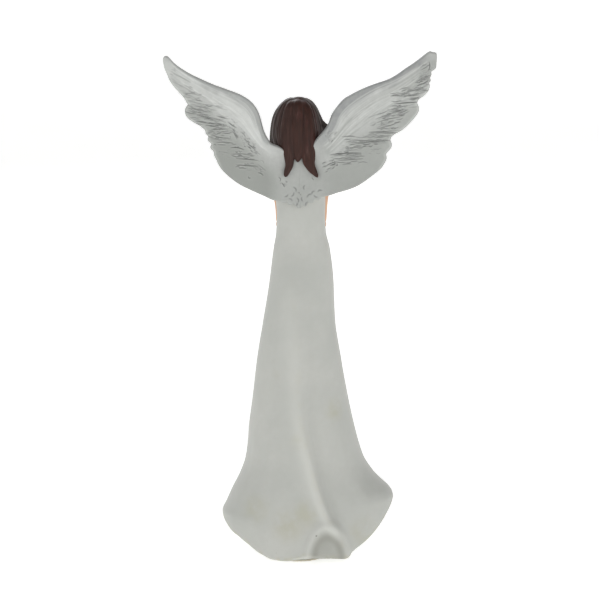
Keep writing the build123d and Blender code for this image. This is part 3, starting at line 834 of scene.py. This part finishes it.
    # The root stands in the mortise: its front reaches into the gown's back.
    boss = (1 - ramp(9, 13.5, x)) * ramp(180, 185.2, z) * (1 - ramp(191.5, 200, z)) * (level < 0)
    y += boss * (mortise_depth - y)
    move(obj.data, np.stack([x, y, z + 0.21 * curl], 1))
    group = obj.vertex_groups.new(name="rim")
    near = np.nonzero((from_rim < 0.7) & (x > 3) & (boss == 0))[0]
    group.add([int(i) for i in near], 1.0, "REPLACE")
    applied(obj, "SMOOTH", factor=0.5, iterations=5, vertex_group="rim")
    obj.vertex_groups.clear()
    if side < 0:
        mirrored(obj.data)

    # The silver wash: solid on the leading edge, wiped off the coverts, left in the grooves. The lower
    # feathers, the root's foot and the crowded grooves are painted darker, and the raised lines between carry
    # a painted highlight.
    drift = 0.9 * np.sin(0.31 * x + 1.3 * np.sin(0.17 * x))
    drift = drift + 0.5 * np.sin(0.83 * x + 2 * np.sin(0.29 * x + 1))
    nearly = ramp(-1.8, 1.8, z - band_height + drift) * (1 - ramp(6.5, 9.5, from_lead)) * (1 - 0.5 * comb)
    silver = nearly * (1 - 0.6 * root) * ramp(0, 9, np.hypot(x - rim[:, 0].max(), z - rim[:, 1].max()) - 1)
    low = ramp(-1, 13, covert_height - z) * (1 - 0.45 * ramp(36, 48, x))
    low = low * (0.9 + 0.12 * side) * (1 - root) + root * (0.1 + 0.4 * (1 - ramp(188, 208, z)))
    crowd = sampled(softly(grooves, 9), origin, x, z)
    wash = np.maximum(cut * 1.35, 0.15 * bump(from_covert, 0.5) * (1 - root))
    combed_highlight = comb * (1 - 0.6 * nearly)
    paint(obj.data, "wash", wash)
    paint(obj.data, "silver", silver * band_silver)
    smooth_covert = above_covert * (1 - nearly) * (1 - root)
    # dim darkens the lower feathers, the root's foot and the crowded grooves, and where covert_light is below
    # 0 it lays painted shade over the coverts.
    paint(obj.data, "dim_and_shade", low + 0.7 * crowd + max(0, -covert_light) * smooth_covert)
    # A painted highlight on the raised rims, beside the grooves, on the combed lines and, where covert_light
    # is above 0, on the coverts.
    light = 0.7 * edging + 1.4 * beside_cut + 0.9 * combed_highlight
    light = light + max(0, covert_light) * smooth_covert
    paint(obj.data, "light", light * (1 - np.clip(cut * 1.3, 0, 1)))
    return obj


def softly(field, reach):
    """A blurred copy of a height field."""
    weights = np.ones(reach) / reach
    for axis in (0, 1, 0, 1):
        field = np.apply_along_axis(lambda row: np.convolve(row, weights, mode="same"), axis, field)
    return field


# ---------------------------------------------------------------- the hair

# Locks: points from the crown to the tip, each with its half-width; thickness; how ashen.
LOCKS = [
    # The three locks that lie on the back.
    ([(1.6, 1, 229.5, 2.2), (4.0, 7.4, 227.4, 3.2), (5.6, 10.6, 219, 3.6), (5.9, 12.4, 210, 3.3),
      (5.2, 13.8, 203.4, 2.5), (5.3, 14.2, 199.5, 1.95), (6.4, 14.4, 196.4, 1.5),
      (7.3, 14.4, 193.9, 0.7)], 1.8, 0.1),
    ([(1, 2, 229.6, 2.2), (1.0, 8.5, 227.6, 2.8), (1.1, 11.7, 219, 3.0), (1.1, 13.1, 210, 2.7),
      (1.0, 14.0, 204, 2.0), (1.1, 14.2, 201.2, 0.7)], 1.8, 0),
    ([(0.2, 1, 229.5, 2.2), (-2.2, 7.4, 227.0, 3.2), (-4.0, 10.5, 218.5, 3.7), (-4.2, 12.6, 209, 3.6),
      (-4.2, 14.0, 202.6, 3.2), (-4.9, 14.3, 199.6, 2.5), (-6.6, 14.5, 196.8, 1.7),
      (-8.7, 14.5, 193.7, 0.6)], 1.8, 0),
    # Under layer, which keeps the neck covered.
    ([(1, 4, 226, 5.0), (1, 9.5, 216, 6.2), (0.4, 10.8, 208, 5.8), (0.0, 12.4, 202.4, 4.6)], 1.6, 0),
    # Sides of the back.
    ([(2.5, 1.5, 229.8, 2.0), (7.0, 4.8, 226.6, 2.6), (9.2, 7.4, 219.5, 2.6), (9.0, 9.4, 212, 2.4),
      (7.4, 11.8, 205.5, 1.6)], 1.9, 0.35),
    ([(-1, 1.5, 229.6, 2.0), (-5.0, 4.6, 225.6, 2.6), (-7.0, 7.2, 218, 2.5), (-6.9, 9.4, 211, 2.4),
      (-6.6, 12.2, 204, 2.0)], 1.9, 0.3),
    # The ashen side locks on the left, which fall in front of the shoulder.
    ([(2.5, 1.5, 230.0, 2.0), (7.4, 3.4, 227.2, 2.6), (10.6, 5.0, 220.5, 2.6), (11.4, 6.0, 213, 2.4),
      (10.6, 7.6, 207.5, 1.4)], 2.0, 0.8),
    ([(2.5, 0, 230.0, 2.0), (7.2, 0.8, 227.8, 2.4), (11.2, 1.6, 222, 2.5), (12.7, 1.8, 214.5, 2.4),
      (12.9, 1.0, 208.5, 2.4), (12.2, -2.5, 202.5, 2.2), (11.2, -5.6, 196.5, 1.6),
      (9.9, -7.6, 190.5, 0.5)], 2.0, 1.0),
    ([(2.2, -2, 230.0, 2.0), (7.0, -4.6, 227.6, 2.5), (10.8, -5.4, 220.5, 2.5), (11.7, -5.0, 212, 2.4),
      (11.0, -6.3, 204, 2.1), (9.8, -8, 197, 1.6), (8.9, -8.8, 191.5, 0.5)], 1.9, 0.8),
    ([(1.6, -4, 229.6, 1.8), (5.2, -8.2, 226.8, 2.2), (9.0, -8.6, 220, 2.1), (9.9, -7.8, 211, 2.0),
      (9.3, -7.6, 203, 1.7), (8.2, -9.0, 195, 0.5)], 1.7, 0.5),
    # The side locks on the right; one turns outward.
    ([(0, 1.5, 229.8, 2.0), (-5.0, 3.8, 226.2, 2.5), (-8.0, 5.4, 219, 2.6), (-9.0, 6.6, 212, 2.4),
      (-8.4, 8.4, 205.5, 1.8)], 2.0, 0.7),
    ([(-1, 1, 229.0, 2.0), (-5.6, 1.6, 225.6, 2.2), (-8.4, 2.0, 221.2, 2.0), (-11.0, 2.2, 218.4, 1.5),
      (-14.0, 2.4, 216.9, 0.5)], 1.8, 1.0),
    ([(0, 0, 230.0, 2.0), (-5.4, 0.8, 226.6, 2.5), (-8.8, 1.2, 220.5, 2.6), (-10.6, 1.2, 214.5, 2.5),
      (-11.4, 0.0, 208.5, 2.4), (-11.2, -3.0, 202.5, 2.1), (-10.3, -6.0, 196.5, 1.5),
      (-9.2, -8, 190.5, 0.5)], 2.0, 1.0),
    ([(0, -2, 230.0, 2.0), (-4.8, -4.6, 227.4, 2.5), (-8.4, -5.4, 220.5, 2.5), (-9.4, -5.0, 212, 2.4),
      (-9.3, -6.3, 204, 2.1), (-8.6, -8, 197, 1.6), (-8.0, -8.8, 191.5, 0.5)], 1.9, 0.6),
    ([(0.6, -4, 229.6, 1.8), (-3.0, -8.2, 226.8, 2.2), (-6.8, -8.6, 220, 2.1), (-7.7, -7.8, 211, 2.0),
      (-7.5, -7.6, 203, 1.7), (-6.9, -9.0, 195, 0.5)], 1.7, 0.3),
]


def hair():
    """The cap and its locks, fused, with combed strands."""
    bm = bmesh.new()
    marks = []
    axis_x, axis_y = head_centre[0], head_centre[1]
    # The cap over the skull, kept behind the face.
    cap = bmesh.ops.create_uvsphere(bm, u_segments=40, v_segments=24, radius=1)["verts"]
    for vert in cap:
        x, y, z = vert.co
        front = 1 - 0.42 * float(ramp(0.1, 0.8, -y) * (1 - ramp(0.45, 0.8, z)))
        vert.co = (axis_x - 0.5 + 9.9 * x, axis_y + 0.6 + 10.3 * y * front, crown - 12.9 + 12.7 * z)
        marks.append((tuple(vert.co), 0.5 if abs(x) > 0.75 else 0.0))

    for points, thickness, ash in LOCKS:
        line = curve(points, 80)
        widest = max(p[3] for p in points)
        stops = np.linspace(0, 1, len(line))
        phase = points[-1][0] * 2.1

        def place(turn, along):
            centre, way = followed(line[:, :3], along)
            up = centre - (axis_x, axis_y, 222)
            up[:, 2] = np.clip(up[:, 2], 0, 20)
            up[:, 1] += np.where(centre[:, 1] > 8, 6.0, 0.0)
            up -= way * np.sum(up * way, 1)[:, None]
            up /= np.linalg.norm(up, axis=1)[:, None]
            aside = np.cross(way, up)
            ends = np.sqrt(np.clip(along / 0.08, 0, 1)) * np.sqrt(np.clip((1 - along) / 0.04, 0, 1))
            width = np.interp(along, stops, line[:, 3]) * ends
            strand = 1 + 0.07 * np.cos(9 * turn + phase + 2.5 * along) * np.clip(np.sin(turn) + 0.4, 0, 1)
            thick = thickness * np.sqrt(width / widest) * strand
            return centre + (width * np.cos(turn))[:, None] * aside + (thick * np.sin(turn))[:, None] * up

        fresh = skin(bm, 54, 90, place)
        marks.extend((tuple(v.co), ash) for v in fresh)
    facing_out(bm)
    tree = KDTree(len(marks))
    for k, (co, _) in enumerate(marks):
        tree.insert(co, k)
    tree.balance()
    obj = softened(fused(made("hair_casting", bm), 0.26), 1)
    # Where the locks meet on the crown they flow into one another.
    group = obj.vertex_groups.new(name="crown")
    heights = places(obj.data)[:, 2]
    for share in (0.25, 0.5, 0.75, 1.0):
        group.add(np.nonzero(ramp(224.5, 229, heights) >= share)[0].tolist(), share, "REPLACE")
    applied(obj, "SMOOTH", factor=0.5, iterations=40, vertex_group="crown")
    obj.vertex_groups.clear()
    xyz = places(obj.data)
    # Fine strands, combed from the crown down.
    angle = np.arctan2(xyz[:, 0] - axis_x, xyz[:, 1] - axis_y)
    wave = np.cos(angle * 34 + 1.2 * np.sin(xyz[:, 2] / 5) + 2.0 * np.sin(angle * 5))
    fade = 1 - 0.8 * ramp(227, 231, xyz[:, 2])
    xyz = xyz + outward(obj.data) * (0.06 * wave * fade)[:, None]
    move(obj.data, xyz)
    ash = np.array([marks[tree.find(Vector(p))[1]][1] for p in xyz])
    paint(obj.data, "ash", ash)
    # The groove paint is painted shade: in the hollows between locks and in the troughs of the combed
    # strands.
    paint(obj.data, "groove", hollow_shade(obj.data, 0.9) + 0.2 * np.clip(-wave, 0, 1) * fade)
    return obj


def hollow_shade(mesh, gain):
    """How far each point lies in a groove, from the mean of its neighbours over a few steps; it sets where
    painted shade goes.
    """
    xyz, faces = places(mesh), outward(mesh)
    ends = np.empty(len(mesh.edges) * 2, np.int32)
    mesh.edges.foreach_get("vertices", ends)
    a, b = ends.reshape(-1, 2).T
    count = np.bincount(a, minlength=len(xyz)) + np.bincount(b, minlength=len(xyz))
    mean = xyz.copy()
    for _ in range(6):
        total = [np.bincount(a, line[b], len(xyz)) + np.bincount(b, line[a], len(xyz)) for line in mean.T]
        mean = np.stack(total, 1) / count[:, None]
    return np.clip(np.sum((mean - xyz) * faces, 1) * gain * 5, 0, 1)


# ---------------------------------------------------------------- head and arms


def at_face(*points):
    """Places given from the middle of the face."""
    return [tuple(face_centre + np.array(p, float)) for p in points]


def head():
    """The head and its neck: the large forms first, then the features on them."""
    c = face_centre
    bm = bmesh.new()
    ball(bm, c + (0, 0.4, 2.2), (8.1, 8.5, 10.4))
    ball(bm, c + (0, -2.0, -4.4), (6.4, 6.3, 7.4))
    ball(bm, c + (0, -6.0, -10.2), (2.2, 2.0, 2.1))
    for s in (-1, 1):
        ball(bm, c + (s * 3.9, -4.9, -3.9), (2.7, 2.5, 3.0))
        limb(bm, at_face((s * 1.0, -7.7, 1.9), (s * 3.2, -7.4, 2.3), (s * 5.6, -5.6, 1.7)), (0.9, 1.1, 0.8))
        jaw = at_face((s * 6.6, -0.5, -4.5), (s * 4.8, -3.4, -9.0), (s * 1.4, -5.6, -11.0))
        limb(bm, jaw, (1.3, 1.3, 1.2))
    neck_foot = (0, 0.2, head_low[2] - 0.4)
    limb(bm, [neck_foot, (0.3, 0.2, 199), *at_face((-0.4, 0.6, -9.5), (0, 0.6, -4))],
         (4.9, 3.6, 3.5, 3.7), 28, 30)
    facing_out(bm)
    rough = softened(fused(made("head_casting", bm), 0.45), 12)

    bm = bmesh.new()
    bm.from_mesh(rough.data)
    limb(bm, at_face((0, -7.1, 2.6), (0, -8.4, -1.4), (0, -9.8, -4.5)), (0.5, 0.75, 1.05), 16, 20)
    ball(bm, c + (0, -9.6, -4.7), (1.05, 1.0, 0.9), 16)
    for s in (-1, 1):
        ball(bm, c + (s * 1.15, -8.7, -4.9), (0.8, 0.95, 0.7), 16)
        ball(bm, c + (s * 3.25, -6.7, -0.9), (2.15, 1.15, 1.35), 20)
        limb(bm, at_face((s * 1.55, -7.75, -1.1), (s * 3.2, -8.25, -0.2), (s * 5.0, -7.05, -1.1)),
             (0.3, 0.36, 0.3), 12, 16)
    upper_lip = at_face((-2.5, -7.1, -7.6), (-0.9, -7.95, -7.2), (0, -8.05, -7.35), (0.9, -7.95, -7.2),
                        (2.5, -7.1, -7.6))
    limb(bm, upper_lip, (0.2, 0.42, 0.36, 0.42, 0.2), 14, 24)
    limb(bm, at_face((-2.0, -7.15, -7.9), (0, -8.0, -8.25), (2.0, -7.15, -7.9)), (0.2, 0.5, 0.2), 14, 24)
    facing_out(bm)
    bm.to_mesh(rough.data)
    bm.free()
    obj = softened(fused(rough, 0.22), 10)

    xyz = places(obj.data)
    rel = xyz - c
    front = ramp(-3, -5, rel[:, 1])
    lash, brow = np.full(len(xyz), 9.0), np.full(len(xyz), 9.0)
    for s in (-1, 1):
        lid = curve([(s * 1.5, -1.2), (s * 2.4, -1.75), (s * 3.5, -1.85), (s * 5.1, -1.15)], 24)
        lash = np.minimum(lash, distance_to(lid, rel[:, 0], rel[:, 2]))
        arc = curve([(s * 1.6, 1.7), (s * 3.4, 2.4), (s * 5.6, 1.5)], 20)
        brow = np.minimum(brow, distance_to(arc, rel[:, 0], rel[:, 2]))
    mouth = curve([(-2.1, -7.6), (-0.8, -7.6), (0, -7.75), (0.8, -7.6), (2.1, -7.6)], 24)
    lip_line = distance_to(mouth, rel[:, 0], rel[:, 2])
    lips = bump(np.hypot(rel[:, 0] / 2.3, (rel[:, 2] + 7.75) / 0.85), 0.85) * front
    xyz = xyz - outward(obj.data) * (front * (0.16 * bump(lash, 0.22) + 0.22 * bump(lip_line, 0.2)))[:, None]
    move(obj.data, xyz)
    paint(obj.data, "line", front * np.maximum(0.95 * bump(lash, 0.24), 0.55 * bump(brow, 0.28)))
    paint(obj.data, "lips", lips * 1.5)
    cheeks = sum(bump(np.hypot(rel[:, 0] - s * 4.2, rel[:, 2] + 4.4), 2.3) for s in (-1, 1))
    paint(obj.data, "blush", front * cheeks)
    # Painted shade in the hollows of the face.
    paint(obj.data, "hollow_shade", hollow_shade(obj.data, 0.5))
    return obj


def arm(name, side):
    """An upper arm, a raised forearm and a hand laid flat against the other."""
    wrist_y = fingers_front + 2.7
    fingertips = 185.0
    bm = bmesh.new()
    # The left elbow is held closer to the waist.
    inward = 1.3 if side > 0 else 0.1
    shoulder, elbow, wrist = (12.2, 0.1, 191.6), (11.1 - inward, -6.3, 167.4), (2.6, -15.4, 172.6)
    limb(bm, [shoulder, (12.0 - inward / 2, -1.2, 185.5), (11.5 - inward, -3.6, 177), elbow],
         (3.0, 2.6, 2.2, 2.1), 28, 40)
    ball(bm, (12.3, 0, 188.6), (2.7, 2.8, 3.2))
    ball(bm, elbow, (2.2, 2.3, 2.4))
    limb(bm, [elbow, (9.0, -8.8, 167.6), (5.6, -12.6, 169.6), wrist, (1.9, wrist_y + 0.3, 175)],
         (2.1, 2.35, 2.0, 1.35, 1.3), 28, 44)
    ball(bm, (1.35, wrist_y + 0.1, 176.4), (1.2, 2.45, 3.3))
    for k in range(4):
        y = wrist_y - 1.95 + 1.28 * k
        length = (6.6, 7.5, 7.2, 5.8)[k]
        limb(bm, [(1.15, y + 0.05, 176.5), (1.1, y, 179.5), (0.85, y * 0.985 - 0.1, 177.4 + length)],
             (0.66, 0.7, 0.52), 16, 22)
    limb(bm, [(1.5, wrist_y + 1.9, 174.2), (1.9, wrist_y + 2.35, 177), (1.5, wrist_y + 1.9, 180.2)],
         (0.9, 0.8, 0.55), 16, 20)
    facing_out(bm)
    obj = softened(fused(made(name, bm), 0.2), 2)
    xyz = places(obj.data)
    # The palms meet on the middle plane, a hair apart.
    xyz[:, 0] = np.maximum(xyz[:, 0], 0.12)
    blush = bump(xyz[:, 2] - fingertips, 1.6) * ramp(-11, -14, xyz[:, 1])
    blush = blush + 0.6 * bump(np.linalg.norm(xyz - np.array(elbow), axis=1), 2.2)
    move(obj.data, xyz)
    if side < 0:
        mirrored(obj.data)
    paint(obj.data, "blush", blush)
    # Painted shade in the hollows of the arm and between the fingers.
    paint(obj.data, "hollow_shade", hollow_shade(obj.data, 0.8))
    return obj


# ---------------------------------------------------------------- the felt


def felt():
    """An oval of felt with a soft cut edge."""
    half = (felt_high - felt_low) / 2
    bm = bmesh.new()
    oval = bmesh.ops.create_circle(bm, segments=180, radius=1, cap_ends=False)["verts"]
    bmesh.ops.transform(bm, verts=oval, matrix=Matrix.Diagonal((half[0], half[1], 1, 1)))
    bmesh.ops.triangle_fill(bm, edges=bm.edges, use_beauty=True)
    raised = bmesh.ops.extrude_face_region(bm, geom=bm.faces)["geom"]
    top = [g for g in raised if isinstance(g, bmesh.types.BMVert)]
    bmesh.ops.translate(bm, verts=top, vec=(0, 0, half[2] * 2))
    bmesh.ops.translate(bm, verts=bm.verts, vec=(0, 0, felt_low[2]))
    facing_out(bm)
    obj = softened(fused(made("felt_pad", bm), 0.4), 2)
    xyz = places(obj.data)
    # Loose fibres along the cut edge.
    rng = np.random.default_rng(7)
    rim = np.hypot(xyz[:, 0] / half[0], xyz[:, 1] / half[1]) > 0.97
    xyz[:, :2] *= 1 + (rim * rng.normal(0, 0.003, len(xyz)))[:, None]
    xyz[:, 2] = np.clip(xyz[:, 2], felt_low[2], felt_high[2])
    move(obj.data, xyz)
    return obj


# ---------------------------------------------------------------- putting it together

gown_finish, wing_finish, skin_finish = gown_paint(), wing_paint(), skin_paint()
finished(gown(), gown_finish, "gown")
# The left wing's coverts get a painted highlight (covert_light above 0), the right wing's painted shade
# (below 0).
left = wing("left_wing_casting", 1, LEFT_OUTLINE, LEFT_BAND, LEFT_COVERT, LEFT_STROKES,
            combed=30, covert_light=0.4, band_silver=0.5, tip_x=left_tip_x, seed=11)
finished(left, wing_finish, "left_wing")
right = wing("right_wing_casting", -1, RIGHT_OUTLINE, RIGHT_BAND, RIGHT_COVERT, RIGHT_STROKES,
             combed=80, covert_light=-0.45, band_silver=0.95, tip_x=right_tip_x, seed=23)
finished(right, wing_finish, "right_wing")
finished(hair(), hair_paint(), "hair")
finished(head(), skin_finish, "head")
finished(arm("left_arm_casting", 1), skin_finish, "left_arm")
finished(arm("right_arm_casting", -1), skin_finish, "right_arm")
finished(felt(), wool_felt(), "felt_base")

resin, steel = plain_resin(), drawn_steel()
kept_nodes = {"bottom_plate": resin, "neck_dowel": steel, "wing_dowels": steel, "arm_dowels": steel}
for name, finish in kept_nodes.items():
    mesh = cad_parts[name].data
    mesh.materials.clear()
    mesh.materials.append(finish)


# ---------------------------------------------------------------- floor, light and camera


def floor():
    # Matt white studio paper, very slightly uneven.
    lit = {"Roughness": 0.9, "IOR": 1.45, "Emission Color": (1, 1, 1, 1), "Emission Strength": 0.56}
    material, tree, shader, place = finish_shader("studio_paper_matt", **lit)
    base = coat(tree, "#F3F3F1", "#F5F5F4", speckle(tree, place, 60, detail=2))
    tree.links.new(base, shader.inputs["Base Color"])
    bm = bmesh.new()
    rim = bmesh.ops.create_circle(bm, segments=96, radius=4, cap_ends=True)["verts"]
    # The paper curves up far behind, all round, so that no horizon shows.
    edges = list({edge for vert in rim for edge in vert.link_edges if len(edge.link_faces) == 1})
    for radius, height in ((4.5, 0.08), (4.9, 0.3), (5.15, 0.7), (5.2, 1.4), (5.2, 2.2)):
        grown = bmesh.ops.extrude_edge_only(bm, edges=edges)["geom"]
        edges = [g for g in grown if isinstance(g, bmesh.types.BMEdge)]
        for vert in (g for g in grown if isinstance(g, bmesh.types.BMVert)):
            vert.co = (vert.co.xy.normalized() * radius).to_3d() + Vector((0, 0, height))
    obj = made("floor", bm)
    for polygon in obj.data.polygons:
        polygon.use_smooth = True
    obj.data.materials.append(material)


def lamp(name, place, size, power, aim):
    light = bpy.data.lights.new(name, "AREA")
    light.shape = "DISK"
    light.size = size
    light.energy = power
    obj = bpy.data.objects.new(name, light)
    obj.location = place
    obj.rotation_euler = (Vector(aim) - Vector(place)).to_track_quat("-Z", "Y").to_euler()
    bpy.context.scene.collection.objects.link(obj)


floor()
aim = (0, 0, 0.13)
lamp("soft_key", (0.6, 0.8, 1.1), 0.6, 2.35, aim)
lamp("soft_fill", (-0.9, 0.7, 0.4), 0.8, 0.9, aim)
lamp("soft_front", (0.3, -1.1, 0.7), 0.7, 2.3, aim)

world = bpy.data.worlds.new("studio")
world.use_nodes = True
world.node_tree.nodes["Background"].inputs["Color"].default_value = (1, 1, 1, 1)
world.node_tree.nodes["Background"].inputs["Strength"].default_value = 0.3
bpy.context.scene.world = world
bpy.context.scene.view_settings.view_transform = "Standard"

lens = bpy.data.cameras.new("camera")
lens.lens = 108
lens.sensor_width = 36
lens.clip_start = 0.01
camera = bpy.data.objects.new("camera", lens)
distance, elevation = 0.9, math.radians(12)
camera.location = (0, distance * math.cos(elevation), aim[2] + distance * math.sin(elevation))
camera.rotation_euler = (Vector(aim) - camera.location).to_track_quat("-Z", "Y").to_euler()
bpy.context.scene.collection.objects.link(camera)
bpy.context.scene.camera = camera

bpy.context.view_layer.update()
